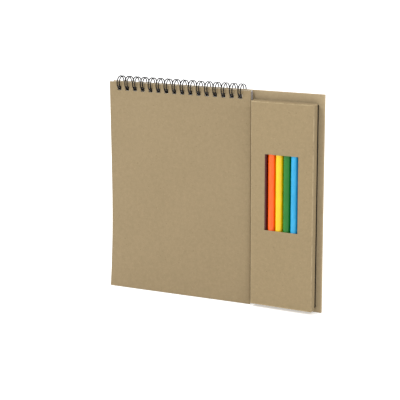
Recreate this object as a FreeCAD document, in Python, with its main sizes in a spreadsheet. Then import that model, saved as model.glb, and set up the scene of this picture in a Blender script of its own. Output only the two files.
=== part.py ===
"""Wire-bound sketchbook with a box of colouring pencils on one wide back board.

Frame: X to the right, Y away from the reader, Z up. The origin is the middle of
the back board's bottom edge, where the book stands. Sizes are in millimetres.
"""

import FreeCAD, Part
import math
import os
import re
import Sketcher

Vector = FreeCAD.Vector

SIZES = {
    # back board
    "board_width": 217.0,
    "board_height": 201.0,
    "board_thick": 2.2,
    # front cover and drawing sheets, measured from the board's front face
    "pad_width": 148.3,
    "cover_front": 6.5,
    "cover_thick": 0.9,
    "cover_lift": 0.4,
    "cover_flat": 15.0,
    "sheet_count": 20,
    "sheet_thick": 0.16,
    "sheet_pitch": 0.19,
    "sheet_start": 1.15,
    "sheet_inset": 0.5,
    "sheet_drop": 0.6,
    "sheet_lift": 0.8,
    # punched holes and wire loops
    "hole_side": 4.2,
    "hole_drop": 5.9,
    "loop_count": 16,
    "loop_pitch": 8.467,
    "loop_radius": 6.2,
    "loop_drop": 1.1,
    "loop_forward": 2.3,
    "wire_thick": 1.05,
    "twin_gap": 2.4,
    "wire_bend": 0.8,
    "loop_base_angle": -16.15,
    "loop_tip_angle": 315.0,
    # pencil box, folded from thin card
    "card": 0.45,
    "foam": 2.6,
    "box_left": 150.54,
    "box_width": 61.2,
    "box_depth": 8.2,
    "box_lift": 3.05,
    "box_height": 190.0,
    "window_left": 13.9,
    "window_width": 32.8,
    "window_low": 71.8,
    "window_height": 70.5,
    "tongue_width": 35.0,
    "tongue_length": 6.5,
    "tongue_taper": 1.5,
    "dust_length": 12.0,
    "dust_taper": 3.2,
    "fit_gap": 0.05,
    "foam_width": 10.0,
    "foam_inset": 0.2,
    "foam_height": 187.0,
    # pencils
    "pencil_count": 8,
    "pencil_pitch": 7.45,
    "pencil_radius": 3.5,
    "pencil_length": 176.0,
    "lead_radius": 1.5,
    "lead_tip_radius": 0.3,
    "wood_cone": 11.0,
    "lead_cone": 6.0,
}

PENCIL_COLOURS = (
    "brown",
    "red",
    "orange",
    "yellow",
    "green",
    "light_blue",
    "dark_blue",
    "purple",
)

# the free left edge of the cover: height, and how far it stands off the flat cover
COVER_LEFT_EDGE = ((142.0, 0.15), (100.0, 0.1), (64.0, -0.8), (30.0, -3.2))
COVER_CORNER_CURL = -6.6
# how the free edge leans forward for each millimetre down, at the bottom corner
COVER_CORNER_LEAN = -0.14

doc = FreeCAD.newDocument("sketchbook")
sheet = doc.addObject("Spreadsheet::Sheet", "sizes")


def fill_sheet():
    """Write each driving size into its own row, with its name as the alias."""
    for row, (name, value) in enumerate(SIZES.items(), start=1):
        sheet.set(f"A{row}", name)
        sheet.set(f"B{row}", str(value))
        sheet.setAlias(f"B{row}", name)
    doc.recompute()


def size(name):
    """Read one driving size from the sheet."""
    return float(sheet.get(name))


def bound(expression):
    """Turn plain size names in an expression into references to the sheet."""
    return re.sub("[a-z_]+", lambda name: f"sizes.{name.group()}", expression)


def value_of(expression):
    """Work out an expression of size names with the sheet's values."""
    probe = sheet.evalExpression(bound(expression))
    return float(getattr(probe, "Value", probe))


def place(thing, x_size="0", y_size="0", z_size="0"):
    """Bind an object's position to expressions of the sheet's sizes."""
    for axis, expression in zip("xyz", (x_size, y_size, z_size)):
        thing.setExpression(f"Placement.Base.{axis}", bound(expression))


def new_body(label):
    """Start a body whose label names its file."""
    body = doc.addObject("PartDesign::Body", label)
    body.Label = label
    return body


def new_sketch(body, name, plane):
    """Attach an empty sketch to one of the body's own origin planes."""
    sketch = body.newObject("Sketcher::SketchObject", name)
    planes = [item for item in body.Origin.OriginFeatures if item.Role == plane]
    sketch.AttachmentSupport = [(planes[0], "")]
    sketch.MapMode = "FlatFace"
    return sketch


def pin(sketch, kind, axis, corner, expression):
    """Hold one coordinate of a corner at a size, or on the sketch's axis at 0."""
    if expression == "0":
        sketch.addConstraint(Sketcher.Constraint("PointOnObject", corner, 1, axis))
        return
    distance = Sketcher.Constraint(kind, -1, 1, corner, 1, value_of(expression))
    index = sketch.addConstraint(distance)
    sketch.setExpression(f"Constraints[{index}]", bound(expression))


def polygon(sketch, corners):
    """Draw a closed outline through corners given as pairs of expressions."""
    points = [Vector(value_of(x), value_of(y), 0) for x, y in corners]
    first = sketch.GeometryCount
    count = len(points)
    for n, start in enumerate(points):
        sketch.addGeometry(Part.LineSegment(start, points[(n + 1) % count]), False)
    for n, (x, y) in enumerate(corners):
        line, after = first + n, first + (n + 1) % count
        sketch.addConstraint(Sketcher.Constraint("Coincident", line, 2, after, 1))
        pin(sketch, "DistanceX", -2, line, x)
        pin(sketch, "DistanceY", -1, line, y)


def rectangle(sketch, left, low, width, height):
    """Draw a rectangle from its lower left corner."""
    right = f"{left} + {width}"
    top = f"{low} + {height}"
    polygon(sketch, ((left, low), (right, low), (right, top), (left, top)))


def pad(body, sketch, length):
    """Raise a sketch into a slab."""
    feature = body.newObject("PartDesign::Pad", "Slab")
    feature.Profile = sketch
    feature.setExpression("Length", bound(length))
    doc.recompute()
    return feature


def punch_row(body, height):
    """Punch the row of square holes for the wire loops under the top edge."""
    before = body.Shape.Volume
    sketch = new_sketch(body, "HoleOutline", "XZ_Plane")
    left = "( pad_width - loop_pitch * ( loop_count - 1 ) - hole_side ) / 2"
    low = f"{height} - hole_drop - hole_side / 2"
    rectangle(sketch, left, low, "hole_side", "hole_side")
    hole = body.newObject("PartDesign::Pocket", "PunchedHole")
    hole.Profile = sketch
    hole.Type = "ThroughAll"
    hole.Reversed = True
    doc.recompute()
    row = body.newObject("PartDesign::LinearPattern", "HoleRow")
    row.Originals = [hole]
    row.Direction = (sketch, ["H_Axis"])
    row.setExpression("Length", bound("loop_pitch * ( loop_count - 1 )"))
    row.setExpression("Occurrences", bound("loop_count"))
    body.Tip = row
    doc.recompute()
    thick = body.Shape.BoundBox.YLength
    punched = size("loop_count") * size("hole_side") ** 2 * thick
    if abs(before - body.Shape.Volume - punched) > 0.01 * punched:
        raise ValueError(f"{body.Label}: the hole row cut the wrong volume")


def make_back_board():
    """Thick card board that carries the pad on its left and the box on its right."""
    body = new_body("back_board")
    sketch = new_sketch(body, "Outline", "XZ_Plane")
    rectangle(sketch, "0", "0", "board_width", "board_height")
    pad(body, sketch, "board_thick")
    punch_row(body, "board_height")
    place(body, "-board_width / 2", "board_thick / 2")
    return body


def make_sheet(number):
    """One drawing sheet. Sheet 1 lies next to the front cover."""
    body = new_body(f"sheet_{number:02d}")
    sketch = new_sketch(body, "Outline", "XZ_Plane")
    low = "sheet_lift"
    tall = "board_height - sheet_drop - sheet_lift"
    rectangle(sketch, "sheet_inset", low, "pad_width - 2 * sheet_inset", tall)
    pad(body, sketch, "sheet_thick")
    punch_row(body, "board_height")
    behind = f"sheet_pitch * ( sheet_count - {number} )"
    rear = f"-board_thick / 2 - sheet_start - {behind}"
    place(body, "-board_width / 2", rear)
    return body


def cover_left_edge(top):
    """Curve of the cover's left edge, which bows a little and curls out at its foot."""
    points = [Vector(0, 0, top)]
    points += [Vector(0, offset, height) for height, offset in COVER_LEFT_EDGE]
    points.append(Vector(0, COVER_CORNER_CURL, size("cover_lift")))
    curve = Part.BSplineCurve()
    end_slope = Vector(0, COVER_CORNER_LEAN, -1)
    curve.interpolate(
        Points=points, InitialTangent=Vector(0, 0, -1), FinalTangent=end_slope
    )
    return curve.toShape()


def make_front_cover():
    """Card cover: flat at the wires, with its lower left corner curling forward."""
    width, top = size("pad_width"), size("board_height")
    fold = top - size("cover_flat")
    thick = Vector(0, size("cover_thick"), 0)
    straight = Part.makeLine(Vector(width, 0, fold), Vector(width, 0, size("cover_lift")))
    free = Part.makeRuledSurface(cover_left_edge(fold), straight).extrude(thick)
    strip = Part.makeBox(width, size("cover_thick"), size("cover_flat"), Vector(0, 0, fold))
    cover = strip.fuse(free)
    side = size("hole_side")
    first = (width - size("loop_pitch") * (size("loop_count") - 1) - side) / 2
    low = top - size("hole_drop") - side / 2
    for n in range(int(size("loop_count"))):
        corner = Vector(first + n * size("loop_pitch"), -side, low)
        cover = cover.cut(Part.makeBox(side, 2 * side, side, corner))
    feature = doc.addObject("Part::Feature", "front_cover")
    feature.Label = "front_cover"
    feature.Shape = cover.removeSplitter()
    place(feature, "-board_width / 2", "-board_thick / 2 - cover_front")
    return feature


def loop_point(x, angle, radius):
    """Point on the loops' cylinder, with the angle counted from its foot to its front."""
    turn = math.radians(angle)
    return Vector(x, -radius * math.sin(turn), -radius * math.cos(turn))


def loop_run(x, start, end):
    """One of the twin wires: an arc round the loops' axis at the given X."""
    radius = size("loop_radius")
    middle = (start + end) / 2
    points = [loop_point(x, angle, radius) for angle in (start, middle, end)]
    return Part.Arc(*points).toShape()


def loop_edges(middle):
    """Middle line of one twin loop about the given X, from its left link to its right."""
    radius, half = size("loop_radius"), size("twin_gap") / 2
    bend, reach = size("wire_bend"), size("loop_pitch") / 2
    base, tip = size("loop_base_angle"), size("loop_tip_angle")
    rise = math.degrees(bend / radius)
    foot = loop_point(middle, base, radius)
    along = loop_point(0, base + 90, 1)
    links = []
    for side in (-1, 1):
        link_end = foot + Vector(side * (half + bend), 0, 0)
        far_end = foot + Vector(side * reach, 0, 0)
        start = loop_point(middle + side * half, base + rise, radius)
        corner = foot + Vector(side * half, 0, 0)
        inside = corner + Vector(side * bend, 0, 0) + along * bend
        halfway = inside + (corner - inside).normalize() * bend
        turn = Part.Arc(link_end, halfway, start).toShape()
        links.append([Part.makeLine(far_end, link_end), turn])
    left_tip, right_tip = (loop_point(middle + x, tip, radius) for x in (-half, half))
    nose = loop_point(middle, tip, radius) + loop_point(0, tip + 90, 1) * half
    turn_back = Part.Arc(left_tip, nose, right_tip).toShape()
    left, right = (loop_run(middle + x, base + rise, tip) for x in (-half, half))
    return links[0] + [left, turn_back, right] + links[1]


def make_wire_binding():
    """Sixteen closed twin loops, bent from one coated wire."""
    pitch, count = size("loop_pitch"), int(size("loop_count"))
    edges = []
    for n in range(count):
        edges += loop_edges((n - (count - 1) / 2) * pitch)
    path = Part.Wire(Part.__sortEdges__(edges))
    start = min((vertex.Point for vertex in path.Vertexes), key=lambda point: point.x)
    outline = Part.makeCircle(size("wire_thick") / 2, start, Vector(1, 0, 0))
    feature = doc.addObject("Part::Feature", "wire_binding")
    feature.Label = "wire_binding"
    feature.Shape = path.makePipeShell([Part.Wire(outline)], True, False)
    middle = "-board_width / 2 + pad_width / 2"
    place(feature, middle, "-board_thick / 2 - loop_forward", "board_height - loop_drop")
    return feature


def box(name, corner, lengths):
    """A plain block bound to the sheet by its lowest corner and its lengths."""
    block = doc.addObject("Part::Box", name)
    for side, expression in zip(("Length", "Width", "Height"), lengths):
        block.setExpression(side, bound(expression))
    place(block, *corner)
    return block


BOX_X = "-board_width / 2 + box_left"
BOX_BACK = "-board_thick / 2 - foam"
BOX_TOP = "box_lift + box_height"


def make_pencil_box():
    """Card sleeve with a window in front, a closed foot and an open top."""
    outer = box(
        "BoxOuter",
        (BOX_X, f"{BOX_BACK} - box_depth", "box_lift"),
        ("box_width", "box_depth", "box_height - card"),
    )
    cavity = box(
        "BoxCavity",
        (f"{BOX_X} + card", f"{BOX_BACK} - box_depth + card", "box_lift + card"),
        ("box_width - 2 * card", "box_depth - 2 * card", "box_height"),
    )
    window = box(
        "BoxWindow",
        (f"{BOX_X} + window_left", f"{BOX_BACK} - box_depth - card", "box_lift + window_low"),
        ("window_width", "3 * card", "window_height"),
    )
    side_trim = box(
        "BoxSideTrim",
        (f"{BOX_X} - card", f"{BOX_BACK} - box_depth + card", f"{BOX_TOP} - 2 * card"),
        ("box_width + 2 * card", "box_depth - 2 * card", "2 * card"),
    )
    spaces = doc.addObject("Part::MultiFuse", "BoxSpaces")
    spaces.Shapes = [cavity, window, side_trim]
    sleeve = doc.addObject("Part::Cut", "pencil_box")
    sleeve.Base = outer
    sleeve.Tool = spaces
    sleeve.Label = "pencil_box"
    return sleeve


def make_box_lid():
    """Lid panel that hinges on the crease at the top of the back panel."""
    depth = "(box_depth - 2 * card - fit_gap)"
    corner = (f"{BOX_X} + fit_gap", f"{BOX_BACK} - card - {depth}", f"{BOX_TOP} - card")
    lid = box("box_lid", corner, ("box_width - 2 * fit_gap", depth, "card"))
    lid.Label = "box_lid"
    return lid


def make_tuck_tongue():
    """Tongue on the lid's front edge, tucked in behind the front panel."""
    body = new_body("box_tuck_tongue")
    sketch = new_sketch(body, "Outline", "XZ_Plane")
    corners = (
        ("tongue_taper", "0"),
        ("tongue_width - tongue_taper", "0"),
        ("tongue_width", "tongue_taper"),
        ("tongue_width", "tongue_length"),
        ("0", "tongue_length"),
        ("0", "tongue_taper"),
    )
    polygon(sketch, corners)
    pad(body, sketch, "card")
    x_size = f"{BOX_X} + ( box_width - tongue_width ) / 2"
    front = f"{BOX_BACK} - box_depth + 2 * card + fit_gap"
    place(body, x_size, front, f"{BOX_TOP} - card - tongue_length")
    return body


def make_dust_flap(label, foot, on_the_left):
    """Small flap folded in from a side panel, cut back towards the lid's crease."""
    body = new_body(label)
    sketch = new_sketch(body, "Outline", "XY_Plane")
    depth = "(box_depth - 4 * card - 4 * fit_gap)"
    near = (("0", "0"), ("dust_length", "0"))
    far = (("dust_length", f"{depth} - dust_taper"), ("0", depth))
    polygon(sketch, near + far)
    pad(body, sketch, "card")
    y_size = f"{BOX_BACK} - box_depth + 2 * card + 3 * fit_gap"
    if on_the_left:
        place(body, f"{BOX_X} + fit_gap", y_size, foot)
        return body
    body.Placement.Rotation = FreeCAD.Rotation(Vector(0, 1, 0), 180)
    place(body, f"{BOX_X} + box_width - fit_gap", y_size, f"{foot} + card")
    return body


def make_bottom_flaps():
    """The two small flaps folded in over the box's closed foot."""
    low = "box_lift + card"
    depth = "(box_depth - 2 * card - 2 * fit_gap)"
    near = f"{BOX_BACK} - card - fit_gap - {depth}"
    left = box("BottomFlapLeft", (f"{BOX_X} + card", near, low), ("dust_length", depth, "card"))
    right_x = f"{BOX_X} + box_width - card - dust_length"
    right = box("BottomFlapRight", (right_x, near, low), ("dust_length", depth, "card"))
    return group("box_bottom_flaps", (left, right))


def make_foam_strips():
    """Two strips of foam tape that hold the box a little off the board."""
    low = "box_lift + ( box_height - foam_height ) / 2"
    lengths = ("foam_width", "foam", "foam_height")
    left = box("FoamLeft", (f"{BOX_X} + foam_inset", BOX_BACK, low), lengths)
    right_x = f"{BOX_X} + box_width - foam_inset - foam_width"
    right = box("FoamRight", (right_x, BOX_BACK, low), lengths)
    return group("box_foam_strips", (left, right))


def group(label, solids):
    """Keep separate solids together under one label."""
    compound = doc.addObject("Part::Compound", label)
    compound.Links = list(solids)
    compound.Label = label
    return compound


def turned(label, corners):
    """Turn a closed half outline once round the Z axis."""
    body = new_body(label)
    sketch = new_sketch(body, "HalfOutline", "XZ_Plane")
    polygon(sketch, corners)
    turning = body.newObject("PartDesign::Revolution", "Turned")
    turning.Profile = sketch
    turning.ReferenceAxis = (sketch, ["V_Axis"])
    turning.Angle = 360
    doc.recompute()
    return body


def make_pencil(number, colour):
    """One round pencil, point up: its wooden barrel and the lead inside it."""
    shoulder = "pencil_length - lead_cone - wood_cone"
    wood_end = "pencil_length - lead_cone"
    barrel_outline = (
        ("lead_radius", "0"),
        ("pencil_radius", "0"),
        ("pencil_radius", shoulder),
        ("lead_radius", wood_end),
    )
    lead_outline = (
        ("0", "0"),
        ("lead_radius", "0"),
        ("lead_radius", wood_end),
        ("lead_tip_radius", "pencil_length"),
        ("0", "pencil_length"),
    )
    barrel = turned(f"pencil_{colour}", barrel_outline)
    lead = turned(f"lead_{colour}", lead_outline)
    step = f"{number} - ( pencil_count - 1 ) / 2"
    x_size = f"{BOX_X} + box_width / 2 + pencil_pitch * ( {step} )"
    for body in (barrel, lead):
        place(body, x_size, f"{BOX_BACK} - box_depth / 2", "box_lift + 2 * card + fit_gap")
    return barrel, lead


def make_all():
    """Build every piece of the book, the box and the pencils."""
    pieces = [make_back_board(), make_front_cover(), make_wire_binding()]
    pieces += [make_sheet(n) for n in range(1, int(size("sheet_count")) + 1)]
    pieces += [make_pencil_box(), make_box_lid(), make_tuck_tongue()]
    foot = f"{BOX_TOP} - 2 * card"
    pieces.append(make_dust_flap("box_dust_flap_left", foot, True))
    pieces.append(make_dust_flap("box_dust_flap_right", foot, False))
    pieces += [make_bottom_flaps(), make_foam_strips()]
    for number, colour in enumerate(PENCIL_COLOURS):
        pieces += make_pencil(number, colour)
    return pieces


def check(pieces):
    """Stop if any object failed or any piece's shape is empty or broken."""
    for item in doc.Objects:
        if {"Invalid", "Error"} & set(item.State):
            raise RuntimeError(f"{item.Label} failed: {item.State}")
    for piece in pieces:
        if piece.Shape.isNull() or not piece.Shape.isValid() or not piece.Shape.Solids:
            raise RuntimeError(f"{piece.Label} has no valid solid")


fill_sheet()
parts = make_all()
doc.recompute()
check(parts)
os.makedirs("parts", exist_ok=True)
for part in parts:
    part.Shape.exportStep(f"parts/{part.Label}.step")
    print(part.Label, len(part.Shape.Solids), round(part.Shape.Volume, 2))
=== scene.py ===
"""Wire-bound sketchbook with a windowed pencil box, finished for a studio view."""

import logging
import math
from dataclasses import dataclass, field
from enum import Enum
from typing import Callable, Iterable, Sequence

import bmesh
import bpy
from mathutils import Matrix, Vector


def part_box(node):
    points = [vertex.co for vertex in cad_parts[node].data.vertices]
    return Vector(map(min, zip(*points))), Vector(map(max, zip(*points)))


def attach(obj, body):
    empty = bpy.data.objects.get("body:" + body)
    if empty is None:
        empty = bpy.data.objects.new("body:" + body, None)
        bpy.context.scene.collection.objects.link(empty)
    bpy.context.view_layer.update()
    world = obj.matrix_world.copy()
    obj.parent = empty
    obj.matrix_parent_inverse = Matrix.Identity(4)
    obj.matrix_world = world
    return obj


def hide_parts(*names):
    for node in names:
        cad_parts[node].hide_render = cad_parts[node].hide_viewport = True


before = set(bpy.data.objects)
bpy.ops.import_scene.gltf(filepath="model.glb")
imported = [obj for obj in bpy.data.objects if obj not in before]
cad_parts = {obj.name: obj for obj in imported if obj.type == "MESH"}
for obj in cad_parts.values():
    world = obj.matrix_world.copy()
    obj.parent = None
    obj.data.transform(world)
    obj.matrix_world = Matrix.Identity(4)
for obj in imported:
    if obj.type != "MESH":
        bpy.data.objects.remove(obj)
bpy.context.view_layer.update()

LOG = logging.getLogger("sketchbook")
MM = 0.001
TOUCH = 0.001 * MM
WHITE = (1.0, 1.0, 1.0, 1.0)

Colour = tuple[float, float, float, float]
Socket = bpy.types.NodeSocket
Point2 = tuple[float, float]
Column = list[bmesh.types.BMVert]


def srgb(red: int, green: int, blue: int) -> Colour:
    """Turn a colour as a paint chart gives it, from 0 to 255, into a linear one.

    Args:
        red: Share of red.
        green: Share of green.
        blue: Share of blue.

    Returns:
        The linear red, green, blue and alpha.
    """
    def linear(share: int) -> float:
        """Undo the screen curve of one channel."""
        value = share / 255
        return value / 12.92 if value <= 0.04045 else ((value + 0.055) / 1.055) ** 2.4

    return linear(red), linear(green), linear(blue), 1.0


class Blend(Enum):
    """How one colour is laid over another."""

    MIX = "MIX"
    SCREEN = "SCREEN"


class Shape(Enum):
    """Which coordinates of a piece a pattern follows."""

    POSITION = "Object"
    NORMAL = "Normal"


@dataclass
class Graph:
    """Adds and joins the nodes of one material or node group.

    Attributes:
        tree: The node tree that is being filled.
    """

    tree: bpy.types.NodeTree

    def add(self, kind: str, **settings: object) -> bpy.types.Node:
        """Add a node.

        Args:
            kind: Blender's name for the type of node.
            **settings: Attributes of the node to set.

        Returns:
            The new node.
        """
        node = self.tree.nodes.new(kind)
        for name, value in settings.items():
            setattr(node, name, value)
        return node

    def feed(self, target: Socket, value: object) -> None:
        """Join a socket to an input, or set the input to a plain value.

        Args:
            target: The input.
            value: A socket, a number, a vector or a colour.
        """
        if isinstance(value, bpy.types.NodeSocket):
            self.tree.links.new(value, target)
        else:
            target.default_value = value

    def math(self, operation: str, *values: object) -> Socket:
        """Work out one sum, product or other function of up to three numbers.

        Args:
            operation: Blender's name for the function.
            *values: Sockets or numbers.

        Returns:
            The result.
        """
        node = self.add("ShaderNodeMath", operation=operation)
        for target, value in zip(node.inputs, values):
            self.feed(target, value)
        return node.outputs[0]

    def vector(self, operation: str, *values: object) -> Socket:
        """Work out one function of vectors.

        Args:
            operation: Blender's name for the function.
            *values: Sockets or vectors.

        Returns:
            The resulting vector.
        """
        node = self.add("ShaderNodeVectorMath", operation=operation)
        for target, value in zip(node.inputs, values):
            self.feed(target, value)
        return node.outputs[0]

    def split(self, vector: Socket) -> tuple[Socket, Socket, Socket]:
        """Take a vector apart.

        Args:
            vector: The vector.

        Returns:
            Its X, Y and Z.
        """
        node = self.add("ShaderNodeSeparateXYZ")
        self.feed(node.inputs[0], vector)
        return tuple(node.outputs)

    def step(self, value: Socket, low: object, high: object) -> Socket:
        """Rise smoothly from 0 to 1.

        Args:
            value: The number that is judged.
            low: Where the rise starts.
            high: Where the rise ends.

        Returns:
            A mask from 0 to 1.
        """
        node = self.add("ShaderNodeMapRange", interpolation_type="SMOOTHSTEP")
        for name, source in (("Value", value), ("From Min", low), ("From Max", high)):
            self.feed(node.inputs[name], source)
        return node.outputs[0]

    def span(self, value: Socket, low: float, high: float) -> Socket:
        """Stretch a number from 0 to 1 evenly over a span.

        Args:
            value: The number from 0 to 1.
            low: What 0 becomes.
            high: What 1 becomes.

        Returns:
            The stretched number.
        """
        node = self.add("ShaderNodeMapRange")
        self.feed(node.inputs["Value"], value)
        node.inputs["To Min"].default_value = low
        node.inputs["To Max"].default_value = high
        return node.outputs[0]

    def mix(self, share: object, first: object, second: object, how: Blend = Blend.MIX) -> Socket:
        """Lay one colour over another.

        Args:
            share: How much of the second colour shows.
            first: The colour below.
            second: The colour on top.
            how: The way that they combine.

        Returns:
            The mixed colour.
        """
        node = self.add("ShaderNodeMix", data_type="RGBA", blend_type=how.value)
        colours = [socket for socket in node.inputs if socket.type == "RGBA"]
        self.feed(node.inputs[0], share)
        self.feed(colours[0], first)
        self.feed(colours[1], second)
        return next(socket for socket in node.outputs if socket.type == "RGBA")

    def shape(self, which: Shape) -> Socket:
        """Give the place or the direction of the surface, in the piece's own frame."""
        return self.add("ShaderNodeTexCoord").outputs[which.value]

    def noise(self, stretch: Sequence[float], detail: float = 3.0, rough: float = 0.55) -> Socket:
        """Make cloudy noise.

        Args:
            stretch: Clouds per metre along X, Y and Z.
            detail: How many finer layers it holds.
            rough: How strong the finer layers are.

        Returns:
            A number from 0 to 1.
        """
        node = self.add("ShaderNodeTexNoise")
        place = self.vector("MULTIPLY", self.shape(Shape.POSITION), tuple(stretch))
        self.feed(node.inputs["Vector"], place)
        node.inputs["Scale"].default_value = 1.0
        node.inputs["Detail"].default_value = detail
        node.inputs["Roughness"].default_value = rough
        return node.outputs["Fac"]

    def cells(self, per_metre: float) -> Socket:
        """Scatter points and measure the way to the nearest one.

        Args:
            per_metre: Points per metre.

        Returns:
            The distance, where 1 is the width of a cell.
        """
        node = self.add("ShaderNodeTexVoronoi")
        self.feed(node.inputs["Vector"], self.shape(Shape.POSITION))
        node.inputs["Scale"].default_value = per_metre
        return node.outputs["Distance"]

    def effect(self, group: "Effect", **values: object) -> dict[str, Socket]:
        """Place an effect with this material's own values.

        Args:
            group: The effect.
            **values: Its inputs, with low lines in place of spaces.

        Returns:
            Its outputs by name.
        """
        node = self.add("ShaderNodeGroup", node_tree=group.tree())
        for name, value in values.items():
            self.feed(node.inputs[name.replace("_", " ")], value)
        return {socket.name: socket for socket in node.outputs}


@dataclass(frozen=True)
class Effect:
    """A node group that several materials share.

    Attributes:
        name: Name of the group.
        inputs: Name and kind of each input.
        outputs: Name and kind of each output.
        fill: Function that joins the inputs to the outputs.
    """

    name: str
    inputs: tuple[tuple[str, str], ...]
    outputs: tuple[tuple[str, str], ...]
    fill: Callable[[Graph, dict[str, Socket]], dict[str, Socket]]

    def tree(self) -> bpy.types.NodeTree:
        """Build the group once, and give it back after that.

        Returns:
            The shader node group.
        """
        known = bpy.data.node_groups.get(self.name)
        if known:
            return known
        tree = bpy.data.node_groups.new(self.name, "ShaderNodeTree")
        for sockets, way in ((self.inputs, "INPUT"), (self.outputs, "OUTPUT")):
            for name, kind in sockets:
                tree.interface.new_socket(name, in_out=way, socket_type=f"NodeSocket{kind}")
        graph = Graph(tree)
        entry = graph.add("NodeGroupInput")
        leave = graph.add("NodeGroupOutput")
        given = {name: entry.outputs[name] for name, _ in self.inputs}
        for name, source in self.fill(graph, given).items():
            graph.feed(leave.inputs[name], source)
        return tree


# patterns of recycled card, counted per metre
CLOUDS = (22, 22, 22)
UPRIGHT_FIBRES = (420, 420, 1500)
LEVEL_FIBRES = (1500, 420, 420)
CARD_GRAIN = (260, 260, 260)
SPECK_PATCHES = (90, 90, 90)
DARK_SPECKS = 240
PALE_SPECKS = 330
PALE_SHARE = 0.5
FELT_RELIEF = 0.6


def fill_fibres(graph: Graph, given: dict[str, Socket]) -> dict[str, Socket]:
    """Recycled card: soft clouds, short pressed fibres, and light and dark specks.

    Args:
        graph: The group's nodes.
        given: The group's inputs.

    Returns:
        The group's outputs.
    """
    clouds = graph.noise(CLOUDS, detail=2.0)
    upright = graph.noise(UPRIGHT_FIBRES, detail=4.0, rough=0.7)
    level = graph.noise(LEVEL_FIBRES, detail=4.0, rough=0.7)
    felt = graph.math("MULTIPLY", graph.math("ADD", upright, level), 0.5)
    grain = graph.noise(CARD_GRAIN, detail=5.0, rough=0.75)
    tone = graph.math("ADD", graph.span(clouds, -0.12, 0.12), graph.span(grain, -0.45, 0.45))
    tone = graph.math("ADD", tone, graph.span(felt, -0.5, 0.5))
    tone = graph.math("MULTIPLY_ADD", tone, given["Contrast"], 0.5)
    colour = graph.mix(graph.step(tone, 0.0, 1.0), given["Shade"], given["Tint"])
    dark = graph.math("SUBTRACT", 1.0, graph.step(graph.cells(DARK_SPECKS), 0.05, 0.16))
    sparse = graph.step(graph.noise(SPECK_PATCHES, detail=1.0), 0.5, 0.6)
    dark = graph.math("MULTIPLY", graph.math("MULTIPLY", dark, sparse), given["Specks"])
    colour = graph.mix(dark, colour, given["Speck Colour"])
    pale = graph.math("SUBTRACT", 1.0, graph.step(graph.cells(PALE_SPECKS), 0.04, 0.14))
    pale = graph.math("MULTIPLY", graph.math("MULTIPLY", pale, given["Specks"]), PALE_SHARE)
    colour = graph.mix(pale, colour, given["Tint"], Blend.SCREEN)
    felt_height = graph.math("MULTIPLY", felt, FELT_RELIEF)
    grain_height = graph.math("MULTIPLY", grain, 1.0 - FELT_RELIEF)
    return {
        "Color": colour,
        "Roughness": graph.span(felt, 0.72, 0.96),
        "Height": graph.math("ADD", felt_height, grain_height),
    }


WEAR_PATCHES = (140, 140, 140)


def fill_edge_wear(graph: Graph, given: dict[str, Socket]) -> dict[str, Socket]:
    """A worn band along the edges of a box-shaped piece.

    Args:
        graph: The group's nodes.
        given: The group's inputs.

    Returns:
        The group's outputs.
    """
    place = graph.shape(Shape.POSITION)
    above = graph.split(graph.vector("SUBTRACT", place, given["Low"]))
    below = graph.split(graph.vector("SUBTRACT", given["High"], place))
    near = [graph.math("MINIMUM", up, down) for up, down in zip(above, below)]
    least = graph.math("MINIMUM", near[0], near[1])
    most = graph.math("MAXIMUM", near[0], near[1])
    second = graph.math("MAXIMUM", least, graph.math("MINIMUM", most, near[2]))
    band = graph.math("SUBTRACT", 1.0, graph.step(second, 0.0, given["Width"]))
    ragged = graph.step(graph.noise(WEAR_PATCHES, detail=4.0, rough=0.7), 0.32, 0.62)
    return {"Mask": graph.math("MULTIPLY", band, ragged)}


LAYER_WAVES = (60, 60, 60)
LAYER_WANDER = 4.0


def fill_cut_edge(graph: Graph, given: dict[str, Socket]) -> dict[str, Socket]:
    """The cut sides of a sheet or board that lies across Y, with its pressed layers.

    Args:
        graph: The group's nodes.
        given: The group's inputs.

    Returns:
        The group's outputs.
    """
    across = graph.split(graph.shape(Shape.NORMAL))[1]
    side = graph.math("SUBTRACT", 1.0, graph.step(graph.math("ABSOLUTE", across), 0.25, 0.75))
    depth = graph.split(graph.shape(Shape.POSITION))[1]
    ply = graph.math("MULTIPLY", depth, given["Layers"])
    wander = graph.math("MULTIPLY", graph.noise(LAYER_WAVES, detail=2.0), LAYER_WANDER)
    ply = graph.math("SINE", graph.math("ADD", ply, wander))
    return {"Mask": side, "Layer": graph.span(ply, 0.35, 0.65)}


def fill_fine_grain(graph: Graph, given: dict[str, Socket]) -> dict[str, Socket]:
    """Small even grain, as on paper, coating or wax.

    Args:
        graph: The group's nodes.
        given: The group's inputs.

    Returns:
        The group's outputs.
    """
    node = graph.add("ShaderNodeTexNoise")
    graph.feed(node.inputs["Vector"], graph.shape(Shape.POSITION))
    graph.feed(node.inputs["Scale"], given["Scale"])
    node.inputs["Detail"].default_value = 4.0
    value = node.outputs["Fac"]
    colour = graph.mix(graph.step(value, 0.3, 0.7), given["Low Colour"], given["High Colour"])
    rough = graph.math("MULTIPLY_ADD", value, given["Spread"], given["Smoothest"])
    return {"Color": colour, "Roughness": rough, "Height": value}


# patterns of a lacquered pencil, counted per metre
DIP_WAVES = (900, 900, 40)
WOOD_GRAIN = (1800, 1800, 90)
LACQUER_STREAKS = (500, 500, 120)
DIP_WANDER = 0.6 * MM
DIP_EDGE = 0.2 * MM
LACQUER_RELIEF = 0.3


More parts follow.
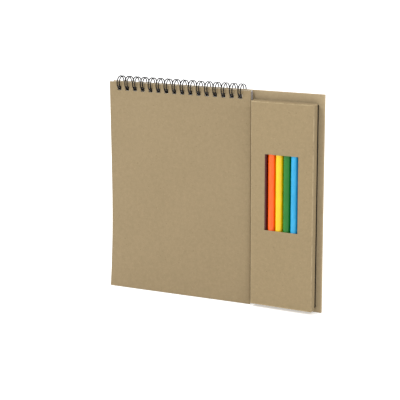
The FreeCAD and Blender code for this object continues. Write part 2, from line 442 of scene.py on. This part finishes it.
def fill_pencil_coats(graph: Graph, given: dict[str, Socket]) -> dict[str, Socket]:
    """Lacquer over the barrel, with bare grained wood at the point and at the cut foot.

    Args:
        graph: The group's nodes.
        given: The group's inputs.

    Returns:
        The group's outputs.
    """
    height = graph.split(graph.shape(Shape.POSITION))[2]
    facing = graph.split(graph.shape(Shape.NORMAL))[2]
    wander = graph.span(graph.noise(DIP_WAVES, detail=2.0), -DIP_WANDER, DIP_WANDER)
    edge = graph.math("ADD", height, wander)
    point = graph.step(edge, given["Shoulder"], graph.math("ADD", given["Shoulder"], DIP_EDGE))
    foot = graph.math("SUBTRACT", 1.0, graph.step(facing, -0.8, -0.5))
    bare = graph.math("MAXIMUM", point, foot)
    grain = graph.noise(WOOD_GRAIN, detail=5.0, rough=0.65)
    wood = graph.mix(graph.step(grain, 0.3, 0.7), given["Dark Wood"], given["Pale Wood"])
    streaks = graph.noise(LACQUER_STREAKS, detail=4.0, rough=0.6)
    coat = graph.mix(graph.step(streaks, 0.35, 0.75), given["Lacquer"], given["Lacquer Sheen"])
    wood_height = graph.math("MULTIPLY", grain, bare)
    lacquer_height = graph.math("MULTIPLY", streaks, LACQUER_RELIEF)
    return {
        "Color": graph.mix(bare, coat, wood),
        "Coat": graph.span(bare, 0.4, 0.0),
        "Roughness": graph.math("MULTIPLY_ADD", bare, 0.4, graph.span(streaks, 0.26, 0.4)),
        "Height": graph.math("ADD", wood_height, lacquer_height),
    }


CARD_FIBRES = Effect(
    "card fibres",
    (
        ("Tint", "Color"),
        ("Shade", "Color"),
        ("Speck Colour", "Color"),
        ("Contrast", "Float"),
        ("Specks", "Float"),
    ),
    (("Color", "Color"), ("Roughness", "Float"), ("Height", "Float")),
    fill_fibres,
)
EDGE_WEAR = Effect(
    "edge wear",
    (("Low", "Vector"), ("High", "Vector"), ("Width", "Float")),
    (("Mask", "Float"),),
    fill_edge_wear,
)
CUT_EDGE = Effect(
    "cut edge",
    (("Layers", "Float"),),
    (("Mask", "Float"), ("Layer", "Float")),
    fill_cut_edge,
)
FINE_GRAIN = Effect(
    "fine grain",
    (
        ("Scale", "Float"),
        ("Low Colour", "Color"),
        ("High Colour", "Color"),
        ("Smoothest", "Float"),
        ("Spread", "Float"),
    ),
    (("Color", "Color"), ("Roughness", "Float"), ("Height", "Float")),
    fill_fine_grain,
)
PENCIL_COATS = Effect(
    "pencil coats",
    (
        ("Lacquer", "Color"),
        ("Lacquer Sheen", "Color"),
        ("Pale Wood", "Color"),
        ("Dark Wood", "Color"),
        ("Shoulder", "Float"),
    ),
    (("Color", "Color"), ("Coat", "Float"), ("Roughness", "Float"), ("Height", "Float")),
    fill_pencil_coats,
)


@dataclass(frozen=True)
class Finish:
    """A surface finish.

    Attributes:
        name: Name of the material.
    """

    name: str

    def material(self) -> bpy.types.Material:
        """Build the material once, and give it back after that.

        Returns:
            The material.
        """
        known = bpy.data.materials.get(self.name)
        if known:
            return known
        material = bpy.data.materials.new(self.name)
        material.use_nodes = True
        graph = Graph(material.node_tree)
        material.node_tree.nodes.clear()
        shader = graph.add("ShaderNodeBsdfPrincipled")
        output = graph.add("ShaderNodeOutputMaterial")
        graph.feed(output.inputs["Surface"], shader.outputs[0])
        self.paint(graph, shader)
        return material

    def paint(self, graph: Graph, shader: bpy.types.Node) -> None:
        """Join the finish's patterns to the shader."""
        raise NotImplementedError

    def relief(self, graph: Graph, shader: bpy.types.Node, height: Socket, depth: float) -> None:
        """Give the surface a fine relief.

        Args:
            graph: The material's nodes.
            shader: The shader that is dressed.
            height: The pattern of high and low.
            depth: How deep the relief is, in metres.
        """
        bump = graph.add("ShaderNodeBump")
        bump.inputs["Distance"].default_value = depth
        graph.feed(bump.inputs["Height"], height)
        graph.feed(shader.inputs["Normal"], bump.outputs[0])


@dataclass(frozen=True)
class CardFinish(Finish):
    """Uncoated recycled card or board.

    Attributes:
        tint: Its lighter tone.
        shade: Its darker tone.
        core: Colour of its cut edges and worn corners.
        low: Lowest corner of the piece.
        high: Highest corner of the piece.
        wear: Width of the worn band along its edges.
        layers: Pressed layers per metre of thickness, or 0 where the cut edge has its own finish.
        contrast: Strength of the clouds and fibres.
        worn: How much of the core shows in the worn band.
        speck: Colour of the dark specks.
        specks: How strongly the specks show.
        specular: Strength of the plain gloss.
        depth: Depth of the fibres.
    """

    tint: Colour
    shade: Colour
    core: Colour
    low: Vector
    high: Vector
    wear: float = 1.2 * MM
    layers: float = 0.0
    contrast: float = 1.0
    worn: float = 0.4
    speck: Colour = srgb(104, 86, 60)
    specks: float = 0.55
    specular: float = 0.25
    depth: float = 0.06 * MM

    def paint(self, graph: Graph, shader: bpy.types.Node) -> None:
        """Lay fibres, cut layers and worn edges on the card.

        Args:
            graph: The material's nodes.
            shader: The shader that is dressed.
        """
        card = graph.effect(
            CARD_FIBRES,
            Tint=self.tint,
            Shade=self.shade,
            Speck_Colour=self.speck,
            Contrast=self.contrast,
            Specks=self.specks,
        )
        band = graph.effect(EDGE_WEAR, Low=self.low, High=self.high, Width=self.wear)
        share = graph.math("MULTIPLY", band["Mask"], self.worn)
        colour = graph.mix(share, card["Color"], self.core)
        if self.layers:
            cut = graph.effect(CUT_EDGE, Layers=self.layers)
            ply = graph.mix(cut["Layer"], self.shade, self.core)
            colour = graph.mix(cut["Mask"], colour, ply)
        graph.feed(shader.inputs["Base Color"], colour)
        graph.feed(shader.inputs["Roughness"], card["Roughness"])
        shader.inputs["Specular IOR Level"].default_value = self.specular
        self.relief(graph, shader, card["Height"], self.depth)


@dataclass(frozen=True)
class GrainFinish(Finish):
    """A fine-grained finish: paper, coated wire, coloured lead or foam.

    Attributes:
        low_colour: Colour in the grain's hollows.
        high_colour: Colour on the grain's tops.
        scale: Grains per metre.
        smoothest: Lowest roughness.
        spread: How much rougher the roughest spots are.
        depth: Depth of the grain.
        specular: Strength of its plain gloss.
    """

    low_colour: Colour
    high_colour: Colour
    scale: float
    smoothest: float
    spread: float
    depth: float
    specular: float = 0.5

    def paint(self, graph: Graph, shader: bpy.types.Node) -> None:
        """Lay the grain on the surface.

        Args:
            graph: The material's nodes.
            shader: The shader that is dressed.
        """
        grain = graph.effect(
            FINE_GRAIN,
            Scale=self.scale,
            Low_Colour=self.low_colour,
            High_Colour=self.high_colour,
            Smoothest=self.smoothest,
            Spread=self.spread,
        )
        graph.feed(shader.inputs["Base Color"], self.tint(graph, grain["Color"]))
        graph.feed(shader.inputs["Roughness"], grain["Roughness"])
        shader.inputs["Specular IOR Level"].default_value = self.specular
        self.relief(graph, shader, grain["Height"], self.depth)

    def tint(self, graph: Graph, colour: Socket) -> Socket:
        """Leave the grain's colour as it is."""
        return colour


@dataclass(frozen=True)
class PaperFinish(GrainFinish):
    """Drawing paper, darker where the trimmed sides of the stack are seen.

    Attributes:
        painted_shade_side: Colour of the trimmed left and right sides, a grey darkened as painted
            shade.
    """

    painted_shade_side: Colour = (0.3, 0.3, 0.3, 1.0)

    def tint(self, graph: Graph, colour: Socket) -> Socket:
        """Paint shade on the trimmed sides.

        Args:
            graph: The material's nodes.
            colour: The paper's own colour.

        Returns:
            The colour with painted shade on the sides.
        """
        sideways = graph.split(graph.shape(Shape.NORMAL))[0]
        # painted shade: mask of the stack's sides that face left and right
        side = graph.step(graph.math("ABSOLUTE", sideways), 0.4, 0.8)
        return graph.mix(side, colour, self.painted_shade_side)


@dataclass(frozen=True)
class FloorFinish(GrainFinish):
    """A pale floor that glows a little, as a light table does.

    Attributes:
        glow: Strength of the light that it gives off.
    """

    glow: float = 0.4

    def paint(self, graph: Graph, shader: bpy.types.Node) -> None:
        """Lay the grain and add the glow.

        Args:
            graph: The material's nodes.
            shader: The shader that is dressed.
        """
        super().paint(graph, shader)
        shader.inputs["Emission Color"].default_value = WHITE
        shader.inputs["Emission Strength"].default_value = self.glow


@dataclass(frozen=True)
class PencilFinish(Finish):
    """Lacquered cedar.

    Attributes:
        lacquer: Colour of the lacquer.
        sheen: Colour of the lacquer where it lies thicker.
        shoulder: Height at which the sharpened point starts.
        pale_wood: Colour of the cedar between its rings.
        dark_wood: Colour of the cedar's rings.
        gloss: Roughness of the clear coat.
        specular: Strength of the plain gloss.
        depth: Depth of the grain.
    """

    lacquer: Colour
    sheen: Colour
    shoulder: float
    pale_wood: Colour = srgb(226, 190, 140)
    dark_wood: Colour = srgb(186, 140, 90)
    gloss: float = 0.18
    specular: float = 0.2
    depth: float = 0.03 * MM

    def paint(self, graph: Graph, shader: bpy.types.Node) -> None:
        """Lay lacquer on the barrel and leave the wood bare at its ends.

        Args:
            graph: The material's nodes.
            shader: The shader that is dressed.
        """
        coats = graph.effect(
            PENCIL_COATS,
            Lacquer=self.lacquer,
            Lacquer_Sheen=self.sheen,
            Pale_Wood=self.pale_wood,
            Dark_Wood=self.dark_wood,
            Shoulder=self.shoulder,
        )
        graph.feed(shader.inputs["Base Color"], coats["Color"])
        graph.feed(shader.inputs["Roughness"], coats["Roughness"])
        graph.feed(shader.inputs["Coat Weight"], coats["Coat"])
        shader.inputs["Coat Roughness"].default_value = self.gloss
        shader.inputs["Specular IOR Level"].default_value = self.specular
        self.relief(graph, shader, coats["Height"], self.depth)


def dress(node: str, finish: Finish) -> bpy.types.Object:
    """Give a carried-over piece its finish.

    Args:
        node: Name of the piece.
        finish: The finish.

    Returns:
        The piece.
    """
    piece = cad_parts[node]
    piece.data.materials.clear()
    piece.data.materials.append(finish.material())
    return piece


def soften(piece: bpy.types.Object, width: float, sharpest: float = 40.0) -> None:
    """Round the sharp edges of a carried-over piece a little.

    Args:
        piece: The piece.
        width: Width of the rounding.
        sharpest: Turn between two faces above which their edge is rounded, in degrees.
    """
    weld = piece.modifiers.new("joined edges", "WELD")
    weld.merge_threshold = TOUCH
    rounding = piece.modifiers.new("rounded edges", "BEVEL")
    rounding.width = width
    rounding.segments = 2
    rounding.limit_method = "ANGLE"
    rounding.angle_limit = math.radians(sharpest)
    rounding.harden_normals = True


COVER_TINT = srgb(142, 125, 96)
COVER_SHADE = srgb(126, 110, 82)
BOARD_TINT = srgb(162, 145, 115)
BOARD_SHADE = srgb(146, 129, 100)
# painted light: the carton is the same kraft as the cover, tinted a touch lighter
LIT_CARTON_TINT = srgb(146, 128, 97)
LIT_CARTON_SHADE = srgb(129, 113, 84)
CARD_CORE = srgb(186, 168, 134)


@dataclass
class BackBoard:
    """Stiff kraft board that carries the pad and the pencil box.

    Attributes:
        rounding: Width of its softened edges.
        layers: Pressed layers per metre of its thickness.
    """

    rounding: float = 0.22 * MM
    layers: float = 9000.0

    def build(self) -> list[bpy.types.Object]:
        """Dress the board.

        Returns:
            Its pieces.
        """
        low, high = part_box("back_board")
        finish = CardFinish(
            "kraft board", BOARD_TINT, BOARD_SHADE, CARD_CORE, low, high, layers=self.layers
        )
        board = dress("back_board", finish)
        soften(board, self.rounding)
        return [board]


@dataclass
class Pad:
    """Kraft cover and drawing sheets.

    Attributes:
        rounding: Width of the cover's softened edges.
        layers: Pressed layers per metre of the cover's thickness.
    """

    rounding: float = 0.1 * MM
    layers: float = 12000.0

    def build(self) -> list[bpy.types.Object]:
        """Dress the cover and every sheet.

        Returns:
            Their pieces.
        """
        low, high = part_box("front_cover")
        cover_finish = CardFinish(
            "kraft cover", COVER_TINT, COVER_SHADE, CARD_CORE, low, high, layers=self.layers
        )
        cover = dress("front_cover", cover_finish)
        soften(cover, self.rounding)
        paper = PaperFinish(
            "drawing paper",
            srgb(226, 223, 216),
            srgb(240, 238, 233),
            scale=900,
            smoothest=0.7,
            spread=0.2,
            depth=0.03 * MM,
            # painted shade: the stack's trimmed sides are a dark grey-mauve
            painted_shade_side=srgb(148, 143, 145),
        )
        sheets = [dress(node, paper) for node in sorted(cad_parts) if node.startswith("sheet")]
        return [cover, *sheets]


@dataclass
class WireBinding:
    """Row of closed twin loops in black coated wire."""

    def build(self) -> list[bpy.types.Object]:
        """Dress the wire.

        Returns:
            Its piece.
        """
        finish = GrainFinish(
            "coated wire",
            srgb(4, 3, 3),
            srgb(12, 10, 10),
            scale=2500,
            smoothest=0.42,
            spread=0.2,
            depth=0.01 * MM,
            specular=0.15,
        )
        return [dress("wire_binding", finish)]


@dataclass
class SleeveWall:
    """Upright wall with a real thickness, made of columns of points that are joined by faces.

    Attributes:
        mesh: The mesh that it belongs to.
        outside: Columns of its outer face, anticlockwise from above.
        inside: Columns of its inner face, in the same order.
        is_open: Function that tells whether a place lies in a window.
        cut_slot: Number of the material of the cut edges.
    """

    mesh: bmesh.types.BMesh
    outside: list[Column]
    inside: list[Column]
    is_open: Callable[[float, float, float], bool]
    cut_slot: int = 1

    def is_card(self, across: int, up: int) -> bool:
        """Tell whether a cell of the wall is card rather than window or air.

        Args:
            across: Number of the column at its left.
            up: Number of the row at its foot.

        Returns:
            Whether it is card.
        """
        count = len(self.outside)
        if not 0 <= up < len(self.outside[0]) - 1:
            return False
        near = self.outside[across % count][up].co
        far = self.outside[(across + 1) % count][up + 1].co
        return not self.is_open(*((near + far) / 2))

    def corners(self, columns: list[Column], across: int, up: int) -> Column:
        """Give the four corners of a cell, anticlockwise from its lower left."""
        left, right = columns[across], columns[(across + 1) % len(columns)]
        return [left[up], right[up], right[up + 1], left[up + 1]]

    def cell(self, across: int, up: int) -> None:
        """Lay the two faces of a cell, and its cut edges where the card ends.

        Args:
            across: Number of the column at its left.
            up: Number of the row at its foot.
        """
        a, b, c, d = self.corners(self.outside, across, up)
        e, f, g, h = self.corners(self.inside, across, up)
        self.mesh.faces.new((a, b, c, d))
        self.mesh.faces.new((f, e, h, g))
        sides = (
            (across, up + 1, (d, c, g, h)),
            (across, up - 1, (b, a, e, f)),
            (across + 1, up, (c, b, f, g)),
            (across - 1, up, (a, d, h, e)),
        )
        for beside, level, edge in sides:
            if level >= 0 and not self.is_card(beside, level):
                self.mesh.faces.new(edge).material_index = self.cut_slot

    def join(self) -> None:
        """Lay every cell that is card."""
        for across in range(len(self.outside)):
            for up in range(len(self.outside[0]) - 1):
                if self.is_card(across, up):
                    self.cell(across, up)


@dataclass
class PencilBox:
    """Folded carton with a window in front, a hinged lid, a tongue and flaps.

    Attributes:
        card: Thickness of the carton.
        fold: Outer radius of the upright folds.
        window_left: From the carton's left side to the window.
        window_width: Width of the window.
        window_low: From the carton's foot to the window.
        window_height: Height of the window.
        trim: How much lower the side panels end than the front and back.
        bow: How far the front panel bows out halfway between its folds.
        panel_step: Widest strip of a panel between two columns of points.
        row_stretch: How much taller a row of cells may be than a column is wide.
        tightest: Smallest radius inside a fold.
        panel_reach: How far behind the front panel a point still belongs to it.
        smooth_below: Turn between two faces up to which they are shaded as one, in degrees.
        fold_wear_and_highlight: Width of the pale band along the folds.
        fold_worn_and_highlight: How much of the card's core shows in that band.
        low: Lowest corner of the carton.
        high: Highest corner of the carton.
    """

    card: float = 0.45 * MM
    fold: float = 0.7 * MM
    window_left: float = 13.9 * MM
    window_width: float = 32.8 * MM
    window_low: float = 71.8 * MM
    window_height: float = 70.5 * MM
    trim: float = 0.45 * MM
    bow: float = 0.3 * MM
    panel_step: float = 5.0 * MM
    row_stretch: float = 2.4
    tightest: float = 0.12 * MM
    panel_reach: float = 0.1 * MM
    smooth_below: float = 35.0
    # fold_wear_and_highlight: Width of the pale band along the folds, rubbed wear and a painted
    # highlight. fold_worn_and_highlight: How much of the card's core shows in that band, raised
    # past plain wear as a painted highlight.
    fold_wear_and_highlight: float = 1.2 * MM
    fold_worn_and_highlight: float = 0.5
    low: Vector = field(default_factory=lambda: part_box("pencil_box")[0])
    high: Vector = field(default_factory=lambda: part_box("pencil_box")[1])

    def finish(self) -> CardFinish:
        """Give the carton's faces their finish."""
        return CardFinish(
            "kraft carton",
            LIT_CARTON_TINT,
            LIT_CARTON_SHADE,
            CARD_CORE,
            self.low,
            self.high,
            # the pale fold band is partly rubbed wear and partly a painted highlight
            wear=self.fold_wear_and_highlight,
            worn=self.fold_worn_and_highlight,
        )

    def cut_finish(self) -> CardFinish:
        """Give the carton's die-cut edges their finish."""
        return CardFinish(
            "cut carton", CARD_CORE, LIT_CARTON_TINT, CARD_CORE, self.low, self.high, contrast=0.6
        )

    def arc(self, corner: Point2, start: float, radius: float, steps: int = 4) -> list[Point2]:
        """Round one upright fold.

        Args:
            corner: Centre of the rounding.
            start: Angle at which it starts, in degrees.
            radius: Its radius.
            steps: How many straight pieces it has.

        Returns:
            Its points from above, a quarter turn anticlockwise.
        """
        angles = [math.radians(start + 90 * n / steps) for n in range(steps + 1)]
        return [
            (corner[0] + radius * math.cos(a), corner[1] + radius * math.sin(a)) for a in angles
        ]

    def stations(self) -> list[float]:
        """Where the front panel's columns of points stand between its two folds.

        Returns:
            Their X, from left to right, with the window's two sides among them.
        """
        left = self.low.x + self.window_left
        stops = [self.low.x + self.fold, left, left + self.window_width, self.high.x - self.fold]
        return self.divided(stops)[1:-1]

    def levels(self) -> list[float]:
        """Where the rows of points stand.

        Returns:
            Their heights as shares of the carton's height, the window's edges among them.
        """
        sill = self.window_low
        stops = [0.0, self.fold, sill, sill + self.window_height, self.high.z - self.low.z]
        return self.divided(stops, self.row_stretch)

    def divided(self, stops: Sequence[float], coarser: float = 1.0) -> list[float]:
        """Fill the gaps between stops evenly.

        Args:
            stops: Rising numbers that are kept.
            coarser: How much wider a gap may be than the panel step.

        Returns:
            All numbers, rising.
        """
        filled = [stops[0]]
        for start, end in zip(stops, stops[1:]):
            count = max(1, math.ceil((end - start) / (self.panel_step * coarser)))
            filled += [start + (end - start) * n / count for n in range(1, count + 1)]
        return filled

    def ring(self, inset: float) -> list[Point2]:
        """Trace the carton's outline from above, outside or inside.

        Args:
            inset: How far inside the outer face the outline runs.

        Returns:
            Its points, anticlockwise from the front left fold.
        """
        radius = max(self.fold - inset, self.tightest)
        left, right = self.low.x + inset + radius, self.high.x - inset - radius
        front, back = self.low.y + inset + radius, self.high.y - inset - radius
        middle = [(x, self.low.y + inset) for x in self.stations()]
        return (
            self.arc((left, front), 180, radius)
            + middle
            + self.arc((right, front), 270, radius)
            + self.arc((right, back), 0, radius)
            + self.arc((left, back), 90, radius)
        )

    def bulge(self, x: float, height: float) -> float:
        """How far the front panel stands out at a point."""
        across = (x - self.low.x) / (self.high.x - self.low.x)
        return self.bow * math.sin(math.pi * across) * math.sin(math.pi * height)

    def in_window(self, x: float, y: float, z: float) -> bool:
        """Tell whether a place lies in the window.

        Args:
            x: Its place across the carton.
            y: Its place from front to back.
            z: Its height.

        Returns:
            Whether it is in the window.
        """
        left = self.low.x + self.window_left
        sill = self.low.z + self.window_low
        on_front = y < self.low.y + self.fold
        in_width = left < x < left + self.window_width
        return on_front and in_width and sill < z < sill + self.window_height

    def column(self, mesh: bmesh.types.BMesh, point: Point2, outside: bool) -> Column:
        """Stand one column of points on the outline.

        Args:
            mesh: The sleeve's mesh.
            point: Where the column stands, from above.
            outside: Whether it stands on the outer face.

        Returns:
            Its points, from the foot to the rim.
        """
        x, y = point
        rows = self.levels()
        front, back = self.low.y + self.card, self.high.y - self.card
        on_side = front + self.fold / 2 < y < back - self.fold / 2
        on_front = y < front + self.panel_reach
        top = rows[-1] - (self.trim if on_side else 0.0)
        foot = 0.0 if outside else self.card
        points = []
        for row in rows:
            out = self.bulge(x, row / rows[-1]) if on_front else 0.0
            height = self.low.z + max(foot, min(row, top))
            points.append(mesh.verts.new((x, y - out, height)))
        return points

    def shell(self) -> bpy.types.Object:
        """Fold the carton's sleeve: walls with a real thickness, a window and a closed foot.

        Returns:
            The sleeve.
        """
        mesh = bmesh.new()
        outside = [self.column(mesh, point, True) for point in self.ring(0.0)]
        inside = [self.column(mesh, point, False) for point in self.ring(self.card)]
        SleeveWall(mesh, outside, inside, self.in_window).join()
        mesh.faces.new([points[0] for points in reversed(outside)])
        mesh.faces.new([points[0] for points in inside])
        bmesh.ops.dissolve_degenerate(mesh, dist=TOUCH, edges=mesh.edges)
        for face in mesh.faces:
            face.smooth = True
        data = bpy.data.meshes.new("pencil_box_sleeve")
        mesh.to_mesh(data)
        mesh.free()
        data.set_sharp_from_angle(angle=math.radians(self.smooth_below))
        data.materials.append(self.finish().material())
        data.materials.append(self.cut_finish().material())
        sleeve = bpy.data.objects.new("pencil_box_sleeve", data)
        bpy.context.scene.collection.objects.link(sleeve)
        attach(sleeve, "book")
        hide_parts("pencil_box")
        return sleeve

    def build(self) -> list[bpy.types.Object]:
        """Fold the sleeve and dress the lid, the flaps and the foam tape.

        Returns:
            All their pieces.
        """
        pieces = [self.shell()]
        for node in ("box_lid", "box_tuck_tongue", "box_dust_flap_left", "box_dust_flap_right"):
            pieces.append(dress(node, self.finish()))
        pieces.append(dress("box_bottom_flaps", self.finish()))
        # painted shade: the foam tape is real, but its near-black colour stands in for the shadow
        # in the gap behind the carton's side
        foam = GrainFinish(
            "foam tape",
            srgb(18, 14, 10),
            srgb(30, 25, 18),
            scale=1800,
            smoothest=0.85,
            spread=0.1,
            depth=0.1 * MM,
            specular=0.1,
        )
        pieces.append(dress("box_foam_strips", foam))
        return pieces


class PencilColour(Enum):
    """The pencils from left to right, with the colour and the sheen of their lacquer."""

    BROWN = ((84, 42, 24), (98, 54, 34))
    # painted shade: a dark red lacquer darkened nearly to black for the shadow of the window's
    # left edge on this pencil; its lead takes the same colour
    RED = ((70, 2, 4), (80, 6, 8))
    ORANGE = ((226, 80, 0), (238, 92, 6))
    YELLOW = ((220, 174, 0), (232, 188, 2))
    GREEN = ((0, 100, 14), (8, 112, 22))
    LIGHT_BLUE = ((22, 142, 188), (36, 154, 200))
    DARK_BLUE = ((16, 66, 132), (24, 78, 146))
    PURPLE = ((92, 36, 112), (106, 48, 126))


@dataclass
class PencilSet:
    """Eight round coloured pencils, points up.

    Attributes:
        cone: Height of the sharpened wood.
    """

    cone: float = 11.0 * MM

    def build(self) -> list[bpy.types.Object]:
        """Dress every barrel and every lead.

        Returns:
            Their pieces.
        """
        pieces = []
        for colour in PencilColour:
            name = colour.name.lower()
            lacquer, sheen = colour.value
            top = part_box(f"pencil_{name}")[1].z
            finish = PencilFinish(
                f"lacquer {name}", srgb(*lacquer), srgb(*sheen), top - self.cone
            )
            pieces.append(dress(f"pencil_{name}", finish))
            lead = GrainFinish(
                f"lead {name}",
                srgb(*lacquer),
                srgb(*sheen),
                scale=3000,
                smoothest=0.45,
                spread=0.25,
                depth=0.03 * MM,
            )
            pieces.append(dress(f"lead_{name}", lead))
        return pieces


@dataclass
class Studio:
    """Pale floor, soft daylight from the upper left and the camera.

    Attributes:
        target: Point at the middle of the camera's lens axis.
        azimuth: Way round the object from its front, in degrees.
        elevation: Height of the view above the floor, in degrees.
        roll: Tilt of the camera, in degrees.
        distance: From the camera to the target.
        focal: Focal length in millimetres.
        shift: How far the frame is shifted right and up, as shares of its width.
        sky_level: Strength of the sky on the level.
        sky_lean: How the sky's strength rises along X, Y and Z.
        softbox_way: From the target to the softbox.
        softbox_size: Width and height of the softbox.
        softbox_power: Power of the softbox in watts.
        reach: Nearest and farthest distance that the camera sees.
        floor_half: Half of the floor's side, in metres.
        floor_glow: Light that the floor gives off, as a light table does.
    """

    target: Vector = field(default_factory=lambda: Vector((1.5, -1.1, 105.0)) * MM)
    azimuth: float = 26.92
    elevation: float = 12.85
    roll: float = -0.15
    distance: float = 1.122
    focal: float = 108.2
    shift: tuple[float, float] = (-0.0405, -0.0262)
    sky_level: float = 0.68
    sky_lean: Vector = field(default_factory=lambda: Vector((-0.45, 0.05, 0.75)))
    softbox_way: Vector = field(default_factory=lambda: Vector((-0.55, -0.75, 1.25)))
    softbox_size: tuple[float, float] = (0.5, 0.7)
    softbox_power: float = 11.0
    reach: tuple[float, float] = (0.05, 60.0)
    floor_half: float = 15.0
    floor_glow: float = 0.4

    def camera(self) -> bpy.types.Object:
        """Set up the camera.

        Returns:
            The camera.
        """
        turn, rise = math.radians(self.azimuth), math.radians(self.elevation)
        back = Vector(
            (math.sin(turn) * math.cos(rise), -math.cos(turn) * math.cos(rise), math.sin(rise))
        )
        lens = bpy.data.cameras.new("studio camera")
        lens.lens = self.focal
        lens.shift_x, lens.shift_y = self.shift
        lens.clip_start, lens.clip_end = self.reach
        camera = bpy.data.objects.new("studio camera", lens)
        camera.location = self.target + back * self.distance
        aim = (-back).to_track_quat("-Z", "Y").to_matrix().to_4x4()
        tilt = Matrix.Rotation(math.radians(self.roll), 4, "Z")
        camera.rotation_euler = (aim @ tilt).to_euler()
        bpy.context.scene.collection.objects.link(camera)
        bpy.context.scene.camera = camera
        return camera

    def floor(self) -> bpy.types.Object:
        """Lay the pale floor.

        Returns:
            The floor.
        """
        half = self.floor_half
        data = bpy.data.meshes.new("studio_floor")
        corners = [(-half, -half, 0), (half, -half, 0), (half, half, 0), (-half, half, 0)]
        data.from_pydata(corners, [], [(0, 1, 2, 3)])
        floor = bpy.data.objects.new("studio_floor", data)
        paint = FloorFinish(
            "studio floor",
            srgb(240, 240, 240),
            srgb(242, 242, 242),
            scale=30,
            smoothest=0.85,
            spread=0.1,
            depth=0.0,
            specular=0.1,
            glow=self.floor_glow,
        )
        data.materials.append(paint.material())
        bpy.context.scene.collection.objects.link(floor)
        return floor

    def daylight(self) -> None:
        """Light the scene with a white sky that is stronger overhead and on the left."""
        world = bpy.data.worlds.new("studio sky")
        world.use_nodes = True
        graph = Graph(world.node_tree)
        sky = world.node_tree.nodes["Background"]
        way = graph.add("ShaderNodeTexCoord").outputs["Generated"]
        lean = graph.vector("DOT_PRODUCT", way, tuple(self.sky_lean))
        strength = graph.math("MAXIMUM", graph.math("ADD", lean, self.sky_level), 0.0)
        sky.inputs["Color"].default_value = WHITE
        graph.feed(sky.inputs["Strength"], strength)
        bpy.context.scene.world = world
        view = bpy.context.scene.view_settings
        view.view_transform = "Standard"
        view.look = "None"

    def softbox(self) -> None:
        """Hang one broad lamp in front, up on the left, for the highlights."""
        lamp = bpy.data.lights.new("softbox", "AREA")
        lamp.shape = "RECTANGLE"
        lamp.size, lamp.size_y = self.softbox_size
        lamp.energy = self.softbox_power
        holder = bpy.data.objects.new("softbox", lamp)
        holder.location = self.target + self.softbox_way
        holder.rotation_euler = (-self.softbox_way).to_track_quat("-Z", "Y").to_euler()
        bpy.context.scene.collection.objects.link(holder)

    def build(self) -> None:
        """Set up the floor, the light and the camera."""
        self.floor()
        self.daylight()
        self.softbox()
        self.camera()


def report(assembly: object, pieces: Iterable[bpy.types.Object]) -> None:
    """Name the pieces of a sub-assembly in the log.

    Args:
        assembly: The sub-assembly.
        pieces: Its pieces.
    """
    for piece in pieces:
        LOG.info("%s: %s", type(assembly).__name__, piece.name)


def main() -> None:
    """Build every sub-assembly in order, then the studio."""
    logging.basicConfig(level=logging.INFO, format="%(message)s")
    for assembly in (BackBoard(), Pad(), WireBinding(), PencilBox(), PencilSet()):
        report(assembly, assembly.build())
    Studio().build()


if __name__ == "__main__":
    main()
